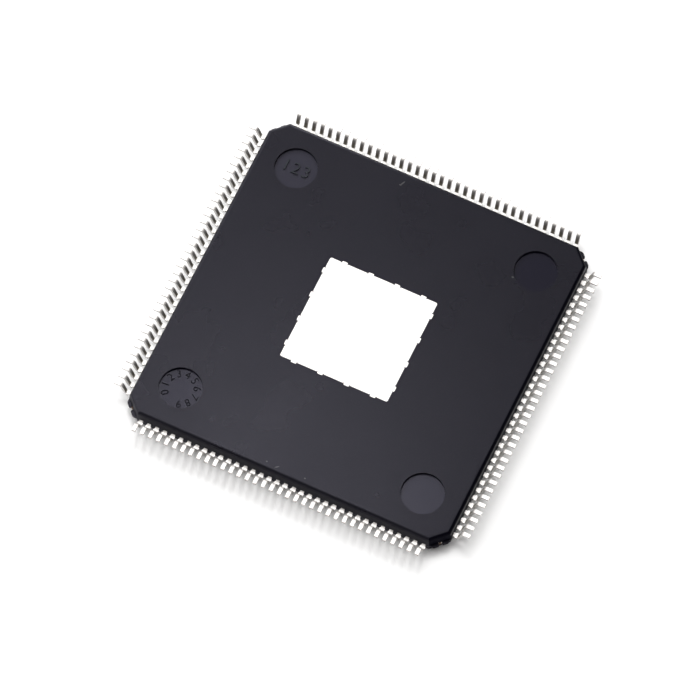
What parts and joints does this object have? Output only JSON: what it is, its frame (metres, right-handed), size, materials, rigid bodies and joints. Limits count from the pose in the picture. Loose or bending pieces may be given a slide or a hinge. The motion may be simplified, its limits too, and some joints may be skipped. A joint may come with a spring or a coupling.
{
  "type": "field-programmable gate array",
  "caption": "Square moulded chip package with gull-wing leads on all four sides and an exposed thermal pad, lying on its marking face with the leads up.",
  "frame": {"origin": "middle of the marking face, on the surface that the package lies on", "axes": "+Z out of the face with the exposed pad, X and Y along the rows of leads"},
  "size_m": [0.022, 0.022, 0.0015],
  "materials": {
    "mould_compound": "fine matte texture of black moulded epoxy",
    "tin_plate": "matte tin plate over copper",
    "die_attach": "silver-filled adhesive",
    "silicon": "polished silicon",
    "polyimide_tape": "amber polyimide film",
    "gold_wire": "bright drawn gold"
  },
  "bodies": {
    "root": {"mould_body": "mould_compound", "die_paddle": "tin_plate", "die_attach": "die_attach", "silicon_die": "silicon", "lead_tape": "polyimide_tape", "ground_wires": "gold_wire", "leads_bank_1": "tin_plate", "bond_wires_bank_1": "gold_wire", "leads_bank_2": "tin_plate", "bond_wires_bank_2": "gold_wire", "leads_bank_3": "tin_plate", "bond_wires_bank_3": "gold_wire", "leads_bank_4": "tin_plate", "bond_wires_bank_4": "gold_wire", "leads_bank_5": "tin_plate", "bond_wires_bank_5": "gold_wire", "leads_bank_6": "tin_plate", "bond_wires_bank_6": "gold_wire", "leads_bank_7": "tin_plate", "bond_wires_bank_7": "gold_wire", "leads_bank_8": "tin_plate", "bond_wires_bank_8": "gold_wire"}
  },
  "joints": []
}
